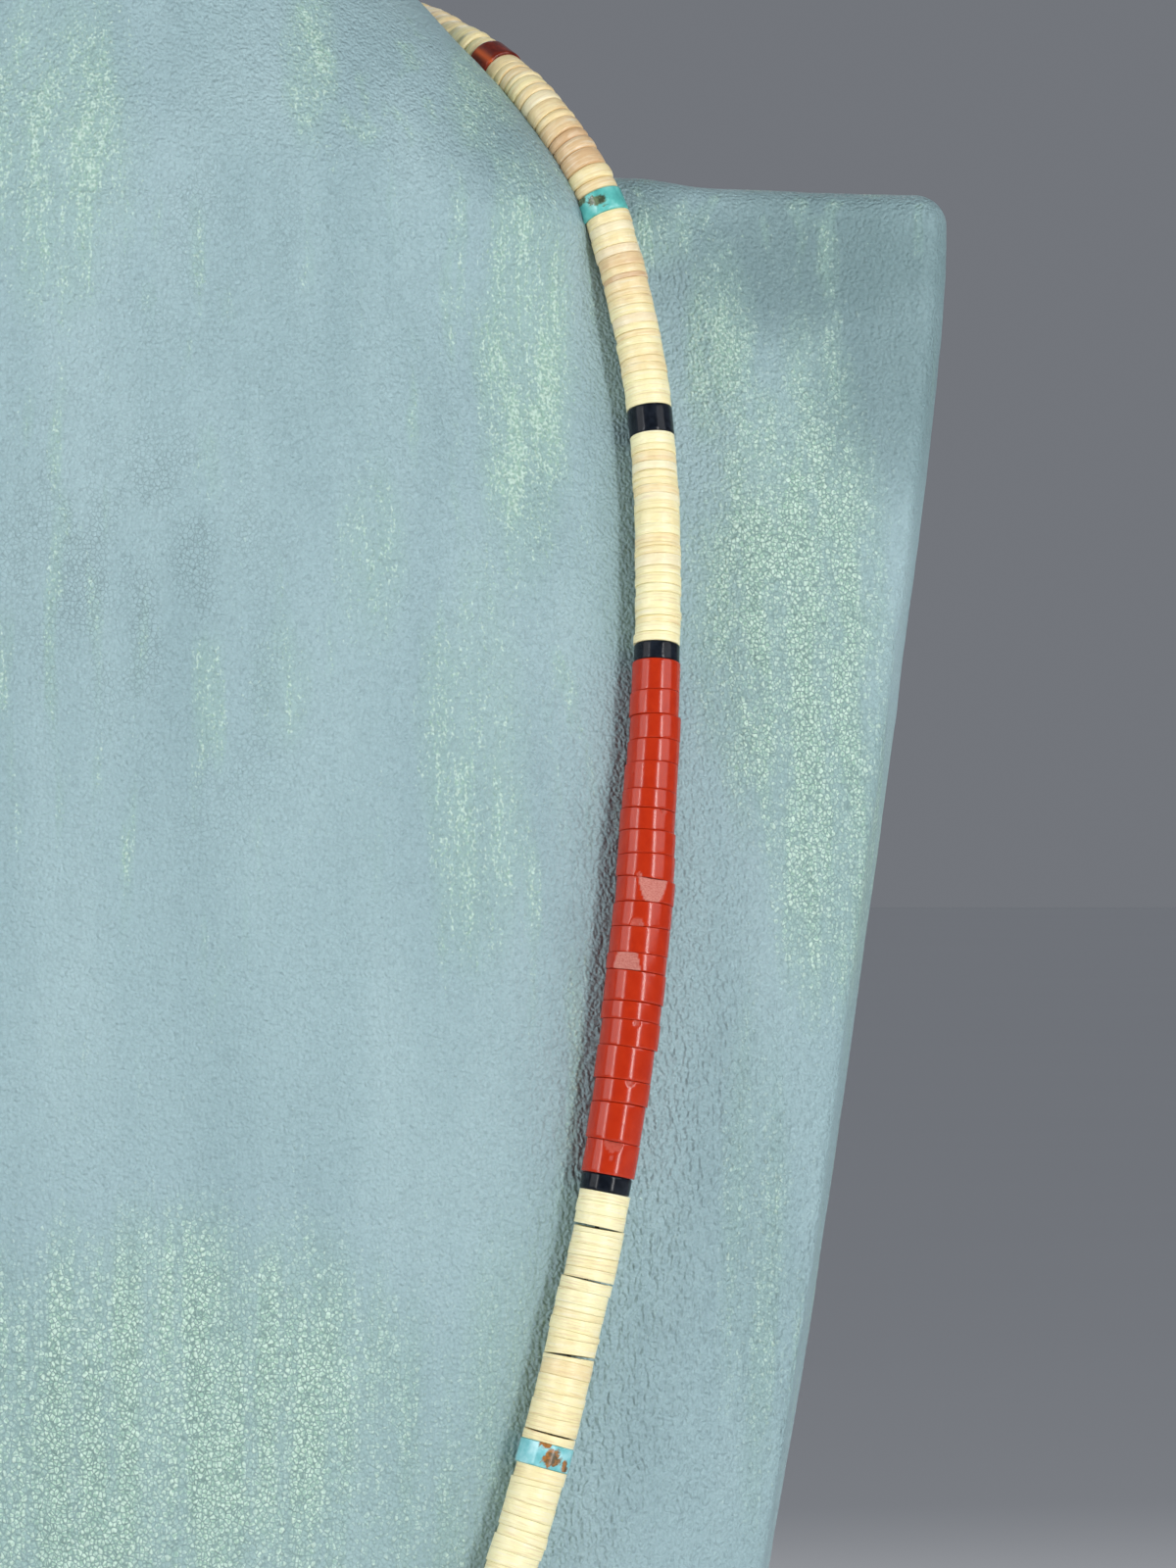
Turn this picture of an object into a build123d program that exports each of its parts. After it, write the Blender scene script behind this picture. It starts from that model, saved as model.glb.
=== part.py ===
from build123d import *

import os
from math import pi, radians, tan
from typing import NamedTuple

os.makedirs("parts", exist_ok=True)

# Neck bust
shoulder_height = 270.0
shoulder_width = 212.0
chest_depth = 57.0
back_depth = 61.0
bust_height = 335.0
neck_width = 84.0
neck_depth = 78.0
panel_edge_radius = 3.5
neck_top_radius = 5.0
rim_share = 0.985
flank_share = 0.66
inner_share = 0.36

# Strand
bead_bore = 1.0
thread_diameter = 0.5
bead_gap = 0.2
accent_gap = 0.27
heishi_upper_diameter = 5.1
heishi_lower_diameter = 5.75
heishi_thickness = 1.0
red_diameter = 6.75
red_section_length = 57.6
accent_edge_radius = 0.25

# Lengths along the strand, from the middle of the front upward on each side
front_half_length = 97.7
lower_run_length = 28.2
chest_run_length = 24.2
collar_run_length = 22.9
shoulder_run_length = 21.5
turquoise_lower_length = 2.5
turquoise_lower_diameter = 6.0
jet_lower_length = 1.7
jet_lower_diameter = 5.6
jet_middle_length = 1.8
jet_middle_diameter = 5.1
jet_upper_length = 3.0
jet_upper_diameter = 5.1
turquoise_upper_length = 2.4
turquoise_upper_diameter = 5.3
red_accent_length = 3.0
red_accent_diameter = 5.3

# Barrel clasp
clasp_length = 13.0
clasp_diameter = 4.8
clasp_collar_length = 1.6
clasp_collar_diameter = 5.4
clasp_pocket_depth = 1.5
clasp_edge_radius = 0.4


class PanelSection(NamedTuple):
    """One level of the chest: lengths are shares of the bust's own sizes."""

    height: float
    width: float
    front: float
    front_inner: float
    front_flank: float
    front_edge: float
    back_edge: float
    back_flank: float
    back: float


class OvalSection(NamedTuple):
    """One level of the shoulder slope or the neck: an ellipse, its middle in front or behind."""

    height: float
    width: float
    middle: float
    depth: float


class RoutePoint(NamedTuple):
    """One point of the strand's route: out to the side, forward and up."""

    across: float
    forward: float
    up: float


panel_sections = [
    PanelSection(0.00, 0.640, 0.90, 0.875, 0.80, 0.52, 0.407, 0.80, 1.00),
    PanelSection(0.22, 0.727, 0.96, 0.940, 0.87, 0.60, 0.300, 0.77, 0.99),
    PanelSection(0.43, 0.813, 1.00, 0.975, 0.90, 0.66, 0.161, 0.73, 0.96),
    PanelSection(0.60, 0.882, 1.00, 0.975, 0.89, 0.64, 0.032, 0.67, 0.92),
    PanelSection(0.78, 0.945, 0.96, 0.920, 0.78, 0.54, -0.096, 0.60, 0.87),
    PanelSection(0.92, 0.990, 0.88, 0.805, 0.56, 0.42, -0.182, 0.52, 0.82),
    PanelSection(1.00, 1.000, 0.80, 0.700, 0.42, 0.37, -0.214, 0.47, 0.78),
]

# Heights run from the shoulder line as shares of the neck's height, widths are shares
# of the neck's width, and places and depths are shares of the neck's depth
slope_sections = [
    OvalSection(-0.40, 1.420, -0.70, 0.300),
    OvalSection(-0.25, 1.540, -0.72, 0.375),
    OvalSection(-0.10, 1.556, -0.72, 0.450),
    OvalSection(0.05, 1.444, -0.65, 0.500),
    OvalSection(0.20, 1.248, -0.51, 0.551),
    OvalSection(0.35, 1.038, -0.35, 0.633),
    OvalSection(0.50, 0.860, -0.12, 0.660),
]
neck_sections = [
    OvalSection(-0.20, 0.930, 0.085, 0.97),
    OvalSection(1.00, 1.000, 0.085, 0.96),
]

# The strand's route on its right side, from the middle of the front: shares of half the
# shoulder width, of the chest depth and of the shoulder height
chest_route = [
    RoutePoint(0.0849, 1.0193, 0.2204),
    RoutePoint(0.2406, 1.0175, 0.2444),
    RoutePoint(0.3632, 1.0053, 0.2907),
    RoutePoint(0.4528, 0.9860, 0.3500),
    RoutePoint(0.5226, 0.9667, 0.4148),
    RoutePoint(0.5708, 0.9526, 0.4759),
    RoutePoint(0.6094, 0.9368, 0.5407),
    RoutePoint(0.6453, 0.9228, 0.6093),
    RoutePoint(0.6679, 0.8947, 0.6793),
    RoutePoint(0.6830, 0.8351, 0.7556),
    RoutePoint(0.6906, 0.7386, 0.8333),
    RoutePoint(0.6840, 0.6368, 0.9037),
    RoutePoint(0.6604, 0.5667, 0.9556),
]

# And round the neck to the clasp: shares of the neck's half width and half depth, and of
# its height above the shoulders
neck_route = [
    RoutePoint(1.5857, 0.7564, -0.0046),
    RoutePoint(1.4405, 0.6359, 0.1385),
    RoutePoint(1.2952, 0.4282, 0.2292),
    RoutePoint(1.1786, 0.2590, 0.2815),
    RoutePoint(1.0905, 0.0410, 0.3092),
    RoutePoint(1.0381, -0.2692, 0.3231),
    RoutePoint(0.9000, -0.6231, 0.3385),
    RoutePoint(0.6810, -0.8949, 0.3554),
    RoutePoint(0.4524, -1.0590, 0.3692),
    RoutePoint(0.2571, -1.1256, 0.3754),
    RoutePoint(0.1190, -1.1256, 0.3754),
]


class RedBead(NamedTuple):
    """One red bead: its length and diameter as shares of the section's mean and widest."""

    length: float
    width: float


# From the lower end of the section upward
red_beads = [
    RedBead(1.29, 0.885),
    RedBead(1.45, 0.905),
    RedBead(0.91, 0.93),
    RedBead(1.29, 0.95),
    RedBead(0.99, 0.97),
    RedBead(0.72, 0.985),
    RedBead(1.20, 1.00),
    RedBead(0.67, 0.995),
    RedBead(1.03, 0.985),
    RedBead(0.91, 0.985),
    RedBead(0.99, 0.97),
    RedBead(0.87, 0.96),
    RedBead(0.95, 0.94),
    RedBead(0.84, 0.925),
    RedBead(0.72, 0.90),
    RedBead(1.10, 0.89),
    RedBead(0.91, 0.865),
    RedBead(0.99, 0.84),
    RedBead(0.95, 0.82),
    RedBead(1.22, 0.80),
]


# Neck bust: a broad chest with straight shoulders, and a neck that rises from it
neck_height = bust_height - shoulder_height
shoulder_half = shoulder_width / 2
neck_half = neck_width / 2
neck_half_depth = neck_depth / 2


with BuildPart() as neck_bust:
    for row in panel_sections:
        half = row.width * shoulder_half
        rim = rim_share * half
        flank = flank_share * half
        inner = inner_share * half
        front_rim = -row.front_edge * chest_depth
        back_rim = row.back_edge * chest_depth
        with BuildSketch(Plane.XY.offset(row.height * shoulder_height)):
            with BuildLine():
                Spline(
                    (-rim, front_rim),
                    (-flank, -row.front_flank * chest_depth),
                    (-inner, -row.front_inner * chest_depth),
                    (0, -row.front * chest_depth),
                    (inner, -row.front_inner * chest_depth),
                    (flank, -row.front_flank * chest_depth),
                    (rim, front_rim),
                )
                ThreePointArc((rim, front_rim), (half, (front_rim + back_rim) / 2), (rim, back_rim))
                Spline(
                    (rim, back_rim),
                    (flank, row.back_flank * back_depth),
                    (0, row.back * back_depth),
                    (-flank, row.back_flank * back_depth),
                    (-rim, back_rim),
                )
                ThreePointArc((-rim, back_rim), (-half, (front_rim + back_rim) / 2), (-rim, front_rim))
            make_face()
    loft()
    fillet(neck_bust.edges().group_by(Axis.Z)[-1], panel_edge_radius)
    for rows in (slope_sections, neck_sections):
        for row in rows:
            with BuildSketch(Plane.XY.offset(shoulder_height + row.height * neck_height)):
                with Locations((0, row.middle * neck_half_depth)):
                    Ellipse(row.width * neck_half, row.depth * neck_half_depth)
        loft()
    fillet(neck_bust.edges().group_by(Axis.Z)[-1], neck_top_radius)
neck_bust.part.label = "neck_bust"
export_step(neck_bust.part, "parts/neck_bust.step")


def corner_radii(points):
    """The largest even arc at each inner point of a route."""
    radii = []
    for before, corner, after in zip(points, points[1:], points[2:]):
        run_in = Vector(*corner) - Vector(*before)
        run_out = Vector(*after) - Vector(*corner)
        half_turn = radians(run_in.get_angle(run_out) / 2)
        radii.append(0.45 * min(run_in.length, run_out.length) / tan(half_turn))
    return radii


# The strand's centre line, from the clasp down the left side and up the right side
strand_route = []
for point in chest_route:
    strand_route.append(
        (point.across * shoulder_half, -point.forward * chest_depth, point.up * shoulder_height)
    )
for point in neck_route:
    height = shoulder_height + point.up * neck_height
    strand_route.append((point.across * neck_half, -point.forward * neck_half_depth, height))
whole_route = [(-x, y, z) for x, y, z in reversed(strand_route)] + strand_route
route_radii = corner_radii(whole_route)
print("route radii", [round(radius, 1) for radius in route_radii])
with BuildLine() as strand_line:
    FilletPolyline(*whole_route, radius=route_radii)
strand_wire = strand_line.wires()[0]
strand_length = strand_wire.length
print("strand length", round(strand_length, 1))


def strand_plane(distance):
    """The plane across the strand at a distance from the middle of the front."""
    place = 0.5 + distance / strand_length
    return Plane(origin=strand_wire @ place, z_dir=strand_wire % place)


def swept_ring(start, end, outer, bore):
    """A tube of the strand from one distance to another."""
    run_wire = strand_wire.trim(0.5 + start / strand_length, 0.5 + end / strand_length)
    with BuildPart() as tube:
        with BuildLine():
            add(run_wire)
        with BuildSketch(Plane(origin=run_wire @ 0, z_dir=run_wire % 0)):
            Circle(outer / 2)
            if bore > 0:
                Circle(bore / 2, mode=Mode.SUBTRACT)
        sweep()
    section = (outer**2 - bore**2) * pi / 4
    print("tube", round(tube.part.volume, 1), "section x length", round(section * run_wire.length, 1))
    return tube


def drilled_bead(distance, length, diameter):
    """One bead, rounded at its edges, centred at a distance along the strand."""
    with BuildPart(strand_plane(distance)) as bead:
        Cylinder(diameter / 2, length)
        fillet(bead.edges(), accent_edge_radius)
        Hole(bead_bore / 2)
    return bead


def bead_string(start, lengths, diameters, direction):
    """Loose drilled beads in a row, a small gap apart."""
    place = start
    with BuildPart() as string:
        for length, diameter in zip(lengths, diameters):
            near = place if direction > 0 else -place - length
            middle = near + length / 2
            with BuildSketch(strand_plane(middle)):
                Circle(diameter / 2)
                Circle(bead_bore / 2, mode=Mode.SUBTRACT)
            extrude(amount=length / 2, both=True)
            place += length + bead_gap
    return string


# Places along the strand, worked out from the lengths
side_lengths = {
    "turquoise_lower": turquoise_lower_length,
    "heishi_lower": lower_run_length,
    "jet_lower": jet_lower_length,
    "red_beads": red_section_length,
    "jet_middle": jet_middle_length,
    "heishi_chest": chest_run_length,
    "jet_upper": jet_upper_length,
    "heishi_collar": collar_run_length,
    "turquoise_upper": turquoise_upper_length,
    "heishi_shoulder": shoulder_run_length,
    "red_accent": red_accent_length,
}
starts = {}
place = front_half_length + accent_gap
for name, length in side_lengths.items():
    starts[name] = place
    place += length + accent_gap
nape_start = place
nape_end = strand_length / 2 - clasp_pocket_depth - accent_gap

# Single accent beads
accent_diameters = {
    "turquoise_lower": turquoise_lower_diameter,
    "jet_lower": jet_lower_diameter,
    "jet_middle": jet_middle_diameter,
    "jet_upper": jet_upper_diameter,
    "turquoise_upper": turquoise_upper_diameter,
    "red_accent": red_accent_diameter,
}
for name, diameter in accent_diameters.items():
    for side, direction in (("right", 1), ("left", -1)):
        middle = starts[name] + side_lengths[name] / 2
        bead = drilled_bead(direction * middle, side_lengths[name], diameter)
        bead.part.label = f"{name}_{side}"
        export_step(bead.part, f"parts/{name}_{side}.step")

# Red sections
red_total = sum(bead.length for bead in red_beads)
red_material = red_section_length - (len(red_beads) - 1) * bead_gap
red_lengths = [bead.length / red_total * red_material for bead in red_beads]
red_diameters = [bead.width * red_diameter for bead in red_beads]
for side, direction in (("right", 1), ("left", -1)):
    string = bead_string(starts["red_beads"], red_lengths, red_diameters, direction)
    string.part.label = f"red_beads_{side}"
    export_step(string.part, f"parts/red_beads_{side}.step")

# Heishi runs that the front shows bead by bead
heishi_diameters = {
    "heishi_lower": heishi_lower_diameter,
    "heishi_chest": heishi_upper_diameter,
    "heishi_collar": heishi_upper_diameter,
    "heishi_shoulder": heishi_upper_diameter,
}
for name, diameter in heishi_diameters.items():
    run_length = side_lengths[name]
    count = round((run_length + bead_gap) / (heishi_thickness + bead_gap))
    thickness = (run_length + bead_gap) / count - bead_gap
    for side, direction in (("right", 1), ("left", -1)):
        string = bead_string(starts[name], [thickness] * count, [diameter] * count, direction)
        string.part.label = f"{name}_{side}"
        export_step(string.part, f"parts/{name}_{side}.step")

# Plain tubes for the long runs in front and behind
heishi_front = swept_ring(-front_half_length, front_half_length, heishi_lower_diameter, bead_bore)
heishi_front.part.label = "heishi_front"
export_step(heishi_front.part, "parts/heishi_front.step")

heishi_nape_right = swept_ring(nape_start, nape_end, heishi_upper_diameter, bead_bore)
heishi_nape_right.part.label = "heishi_nape_right"
export_step(heishi_nape_right.part, "parts/heishi_nape_right.step")

heishi_nape_left = swept_ring(-nape_end, -nape_start, heishi_upper_diameter, bead_bore)
heishi_nape_left.part.label = "heishi_nape_left"
export_step(heishi_nape_left.part, "parts/heishi_nape_left.step")

# Thread through every bead, into the clasp's two pockets
thread = swept_ring(-strand_length / 2, strand_length / 2, thread_diameter, 0)
thread.part.label = "thread"
export_step(thread.part, "parts/thread.step")

# Barrel clasp: a plain body with a collar at each end, drilled for the thread
clasp_plane = Plane(origin=(0, strand_route[-1][1], strand_route[-1][2]), z_dir=(1, 0, 0))
with BuildPart(clasp_plane) as clasp:
    Cylinder(clasp_diameter / 2, clasp_length)
    for end in (-1, 1):
        with Locations((0, 0, end * (clasp_length - clasp_collar_length) / 2)):
            Cylinder(clasp_collar_diameter / 2, clasp_collar_length)
    fillet(clasp.edges().filter_by(GeomType.CIRCLE).group_by(Axis.X)[-1], clasp_edge_radius)
    fillet(clasp.edges().filter_by(GeomType.CIRCLE).group_by(Axis.X)[0], clasp_edge_radius)
    for end in (-1, 1):
        pocket_middle = end * (clasp_length - clasp_pocket_depth) / 2
        with Locations((0, 0, pocket_middle)):
            Cylinder(bead_bore / 2, clasp_pocket_depth + 2 * bead_gap, mode=Mode.SUBTRACT)
clasp.part.label = "clasp"
export_step(clasp.part, "parts/clasp.step")
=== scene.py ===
"""Heishi bead necklace on a neck bust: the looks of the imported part."""

import math
from typing import NamedTuple

import bmesh
import bpy
import numpy as np
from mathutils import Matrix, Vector, noise
from mathutils.bvhtree import BVHTree


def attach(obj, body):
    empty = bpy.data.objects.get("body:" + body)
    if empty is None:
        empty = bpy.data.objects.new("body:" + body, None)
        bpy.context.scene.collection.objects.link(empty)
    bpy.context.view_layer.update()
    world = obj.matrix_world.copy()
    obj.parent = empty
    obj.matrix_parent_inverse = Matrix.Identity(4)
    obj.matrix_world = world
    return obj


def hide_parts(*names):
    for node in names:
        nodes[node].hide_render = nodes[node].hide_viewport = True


MM = 0.001

# The strand's route on its right side, from the middle of the front to the clasp behind
STRAND_ROUTE = [
    (0.0090, -0.0581, 0.0595),
    (0.0255, -0.0580, 0.0660),
    (0.0385, -0.0573, 0.0785),
    (0.0480, -0.0562, 0.0945),
    (0.0554, -0.0551, 0.1120),
    (0.0605, -0.0543, 0.1285),
    (0.0646, -0.0534, 0.1460),
    (0.0684, -0.0526, 0.1645),
    (0.0708, -0.0510, 0.1834),
    (0.0724, -0.0476, 0.2040),
    (0.0732, -0.0421, 0.2250),
    (0.0725, -0.0363, 0.2440),
    (0.0700, -0.0323, 0.2580),
    (0.0666, -0.0295, 0.2697),
    (0.0605, -0.0248, 0.2790),
    (0.0544, -0.0167, 0.2849),
    (0.0495, -0.0101, 0.2883),
    (0.0458, -0.0016, 0.2901),
    (0.0436, 0.0105, 0.2910),
    (0.0378, 0.0243, 0.2920),
    (0.0286, 0.0349, 0.2931),
    (0.0190, 0.0413, 0.2940),
    (0.0108, 0.0439, 0.2944),
    (0.0050, 0.0439, 0.2944),
]

# Lengths along the strand, in millimetres, as in the part
FRONT_HALF = 97.7
RUN_GAP = 0.27
BORE = 1.0
CLASP_POCKET = 1.5

# Diameters of the two runs that no side run gives: from the front's middle out, and behind
FRONT_DIAMETERS = (5.85, 5.8)
NAPE_DIAMETERS = (5.1, 5.1)
RED_DIAMETER = 6.75

# Every random draw follows from this seed
SEED = 11

# How uneven the beads of a run are: shares of their mean thickness and of their diameter
THICKNESS_SPREAD = 0.27
THICKNESS_RANGE = (0.5, 1.8)
DIAMETER_SPREAD = 0.008
RED_DIAMETER_SPREAD = 0.004

# A disc is one of the paler kind where its draw, 0 to 1, is above this
PALE_KIND = 0.93

# Every bead looks up its own part of the textures, this far away at most
TEXTURE_REACH = 500

# Chips out of a disc's rim: half their turn, depth, and how far they go through the disc
CHIP_TURN = 0.22
CHIP_DEPTH = (0.08, 0.26)
CHIP_THROUGH = 0.75

# The bust's skin: its voxels in metres, cuts of the finer front, and steps of its softening
SKIN_VOXEL = 0.0026
FRONT_CUTS = 3
EVEN_OUT = (0.5, -0.52)
ROUND_OFF = (0.6,)


class Run(NamedTuple):
    """One stretch of a side, going up from the middle of the front, in millimetres."""

    name: str
    length: float
    low_diameter: float
    high_diameter: float


SIDE_RUNS = [
    Run("turquoise_lower", 2.5, 6.0, 6.0),
    Run("heishi_lower", 28.2, 5.85, 5.7),
    Run("jet_lower", 1.7, 5.6, 5.6),
    Run("red_beads", 57.6, RED_DIAMETER, RED_DIAMETER),
    Run("jet_middle", 1.8, 5.1, 5.1),
    Run("heishi_chest", 24.2, 5.15, 5.05),
    Run("jet_upper", 3.0, 5.1, 5.1),
    Run("heishi_collar", 22.9, 5.1, 5.1),
    Run("turquoise_upper", 2.4, 5.4, 5.4),
    Run("heishi_shoulder", 21.5, 5.1, 5.1),
    Run("red_accent", 3.0, 5.5, 5.5),
]

# Red beads from the lower end up: length and diameter as shares of the mean and the widest
RED_BEADS = [
    (1.29, 0.885),
    (1.45, 0.905),
    (0.91, 0.93),
    (1.29, 0.95),
    (0.99, 0.97),
    (0.72, 0.985),
    (1.20, 1.00),
    (0.67, 0.995),
    (1.03, 0.985),
    (0.91, 0.985),
    (0.99, 0.97),
    (0.87, 0.96),
    (0.95, 0.94),
    (0.84, 0.925),
    (0.72, 0.90),
    (1.10, 0.89),
    (0.91, 0.865),
    (0.99, 0.84),
    (0.95, 0.82),
    (1.22, 0.80),
]


class Flat(NamedTuple):
    """A flat worn on a red bead: the way it faces, how deep, and how it leans along the strand."""

    bead: int
    facing: float
    depth: float
    lean: float


class Chip(NamedTuple):
    """A chip out of a red bead: its place round and along the bead, its reach and its depth."""

    bead: int
    facing: float
    along: float
    reach: float
    depth: float


RIGHT_FLATS = [Flat(10, 15, 0.33, 0.14), Flat(7, -20, 0.33, -0.12)]
RIGHT_CHIPS = [
    Chip(9, -8, 0.02, 0.75, 0.32),
    Chip(0, 0, 0.96, 1.15, 0.24),
    Chip(0, 2, 0.5, 0.3, 0.12),
    Chip(4, 12, 0.92, 0.4, 0.22),
    Chip(2, 16, 0.96, 0.5, 0.25),
    Chip(11, -12, 0.04, 0.35, 0.15),
    Chip(13, 30, 0.95, 0.4, 0.2),
]
LEFT_FLATS = [Flat(5, 14, 0.28, 0.1), Flat(14, -16, 0.2, -0.12)]
LEFT_CHIPS = [Chip(8, 20, 0.05, 0.6, 0.3), Chip(16, -10, 0.95, 0.5, 0.22)]


class Wedge(NamedTuple):
    """A wedge-shaped gap between two discs: its distance, the way it opens, and how far."""

    distance: float
    facing: float
    opening: float


RIGHT_WEDGES = [
    Wedge(125.3, -48.0, 0.34),
    Wedge(110.3, 44.0, 0.34),
    Wedge(102.6, 20.0, 0.20),
    Wedge(119.4, 50.0, 0.22),
]


class Patch(NamedTuple):
    """A soft-edged patch on the bust's front, in millimetres, the same on both sides."""

    across: float
    up: float
    half_width: float
    half_height: float
    strength: float


# Where the bust is brushed with pale paint, crackled, coarse and wrinkled, and where painted shade
# darkens it
PAINT = [
    Patch(20, 134, 26, 20, 0.95),
    Patch(8, 118, 24, 28, 0.85),
    Patch(38, 122, 15, 14, 0.6),
    Patch(88, 224, 10, 26, 0.95),
    Patch(92, 200, 7, 22, 0.85),
    Patch(80, 252, 4, 12, 0.8),
    Patch(91, 240, 5, 16, 0.7),
    Patch(58, 249, 5, 24, 0.9),
    Patch(53, 205, 6, 22, 0.65),
    Patch(34, 284, 3, 10, 0.85),
    Patch(6, 274, 9, 18, 0.75),
    Patch(53, 282, 4, 9, 0.7),
    Patch(73, 264, 4, 4, 0.75),
    Patch(41, 228, 4, 12, 0.5),
    Patch(31, 214, 4, 8, 0.45),
    Patch(56, 138, 5, 18, 0.5),
    Patch(84, 150, 4, 30, 0.45),
]
CRACKLE = [Patch(14, 228, 14, 16, 0.8), Patch(24, 212, 8, 14, 0.5), Patch(24, 262, 12, 14, 0.4)]
COARSE = [Patch(18, 126, 40, 44, 1.0), Patch(90, 212, 16, 46, 1.0), Patch(84, 150, 9, 40, 0.8)]
WRINKLES = [Patch(76, 150, 18, 34, 0.9), Patch(70, 190, 8, 22, 0.6), Patch(66, 128, 9, 16, 0.8)]
# Painted shade: darker patches on the shoulder's top and the slope beside the neck, where these
# surfaces turn up away from the lights
PAINTED_SHADE = [
    Patch(92, 262, 16, 9, 1.0),
    Patch(99, 250, 8, 14, 0.8),
    Patch(60, 275, 10, 8, 0.5),
    Patch(70, 268, 6, 5, 0.7),
]

# The soft ridge that runs from the strand down the shoulder, and how far in millimetres it,
# the slope beside the neck and the shoulder's top stand proud of the part's bust
RIDGE = [(71.5, 265.5), (76.0, 262.8), (78.3, 258.4), (81.0, 251.5), (83.5, 243.0)]
RIDGE_RISE = 0.7
SLOPE_RISE = 0.85
SHOULDER_RISE = 0.9

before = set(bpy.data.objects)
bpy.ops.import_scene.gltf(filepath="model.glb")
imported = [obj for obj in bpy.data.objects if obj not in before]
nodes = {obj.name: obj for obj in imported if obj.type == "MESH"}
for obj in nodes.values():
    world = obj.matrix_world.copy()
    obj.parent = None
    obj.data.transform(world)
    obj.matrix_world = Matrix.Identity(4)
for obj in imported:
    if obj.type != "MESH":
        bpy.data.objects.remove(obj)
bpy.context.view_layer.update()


# The strand


def smooth_line(route):
    """Points along the smooth line that the route's points steer, in millimetres."""
    curve = bpy.data.curves.new("strand_line", "CURVE")
    curve.dimensions = "3D"
    curve.resolution_u = 16
    spline = curve.splines.new("NURBS")
    spline.points.add(len(route) - 1)
    for point, place in zip(spline.points, route):
        point.co = (*place, 1.0)
    spline.order_u = 3
    spline.use_endpoint_u = True
    holder = bpy.data.objects.new("strand_line", curve)
    bpy.context.scene.collection.objects.link(holder)
    mesh = bpy.data.meshes.new_from_object(holder)
    line = np.array([vertex.co for vertex in mesh.vertices]) / MM
    bpy.data.objects.remove(holder)
    bpy.data.curves.remove(curve)
    bpy.data.meshes.remove(mesh)
    return line


class Strand:
    """The strand's centre line with a steady frame along it. Distances are in millimetres."""

    def __init__(self, route):
        line = smooth_line(route)
        steps = np.linalg.norm(np.diff(line, axis=0), axis=1)
        line = line[np.concatenate([[True], steps > 1e-4])]
        steps = np.linalg.norm(np.diff(line, axis=0), axis=1)
        total = np.concatenate([[0.0], np.cumsum(steps)])
        self.half = total[-1] / 2
        self.distances = total - self.half
        self.line = line
        tangents = np.gradient(line, total, axis=0)
        self.tangents = tangents / np.linalg.norm(tangents, axis=1)[:, None]
        self.normals = self._carry_normals()

    def _carry_normals(self):
        normals = np.zeros_like(self.line)
        middle = int(np.argmin(np.abs(self.distances)))
        for order in (range(middle, len(self.line)), range(middle, -1, -1)):
            normal = np.array([0.0, -1.0, 0.0])
            for index in order:
                tangent = self.tangents[index]
                normal = normal - tangent * normal.dot(tangent)
                normal = normal / np.linalg.norm(normal)
                normals[index] = normal
        return normals

    def at(self, distance):
        """Place, tangent and the two cross directions."""
        def pick(table):
            return np.array([np.interp(distance, self.distances, table[:, k]) for k in range(3)])

        tangent = pick(self.tangents)
        tangent /= np.linalg.norm(tangent)
        normal = pick(self.normals)
        normal -= tangent * normal.dot(tangent)
        normal /= np.linalg.norm(normal)
        return pick(self.line), tangent, normal, np.cross(tangent, normal)

    def facing(self, distance):
        """The angle round the strand that looks forward, out of the bust's front."""
        _, _, normal, side = self.at(distance)
        return math.atan2(-side[1], -normal[1])


class BeadMesh:
    """Many beads joined into one mesh, each with its own tint and wear."""

    def __init__(self):
        self.points = []
        self.faces = []
        self.local = []
        self.tint = []
        self.worn = []
        self.count = 0

    def add(self, points, faces, local, tint, worn):
        """Adds one bead. local is where its textures are looked up, worn is 0 to 1."""
        self.points.append(points)
        self.faces.append(faces + self.count)
        self.local.append(local)
        self.tint.append(np.tile(np.array(tint), (len(points), 1)))
        self.worn.append(worn)
        self.count += len(points)

    def build(self, name, material, replaced):
        mesh = bpy.data.meshes.new(name)
        points = np.concatenate(self.points) * MM
        mesh.from_pydata(points.tolist(), [], np.concatenate(self.faces).tolist())
        mesh.polygons.foreach_set("use_smooth", np.ones(len(mesh.polygons), bool))
        local = mesh.attributes.new("local", "FLOAT_VECTOR", "POINT")
        local.data.foreach_set("vector", np.concatenate(self.local).astype(np.float32).ravel())
        tint = mesh.attributes.new("tint", "FLOAT_COLOR", "POINT")
        tint.data.foreach_set("color", np.concatenate(self.tint).astype(np.float32).ravel())
        worn = mesh.attributes.new("worn", "FLOAT", "POINT")
        worn.data.foreach_set("value", np.concatenate(self.worn).astype(np.float32))
        mesh.materials.append(material)
        mesh.update()
        bead_object = bpy.data.objects.new(name, mesh)
        bpy.context.scene.collection.objects.link(bead_object)
        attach(bead_object, "root")
        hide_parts(*replaced)


def ring_faces(rings, segments):
    """Quads of a closed ring of rings."""
    ring, step = np.meshgrid(np.arange(rings), np.arange(segments), indexing="ij")
    next_ring = (ring + 1) % rings
    next_step = (step + 1) % segments
    corners = [ring * segments + step, ring * segments + next_step]
    corners += [next_ring * segments + next_step, next_ring * segments + step]
    return np.stack(corners, axis=-1).reshape(-1, 4)


class BeadShape(NamedTuple):
    """How a kind of bead is made: mesh steps, and how uneven it is."""

    segments: int
    wall_rings: int
    edge: float
    edge_spread: float
    bulge: float
    uneven: float
    offset: float
    tilt: float
    gap: float
    chip_chance: float


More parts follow.
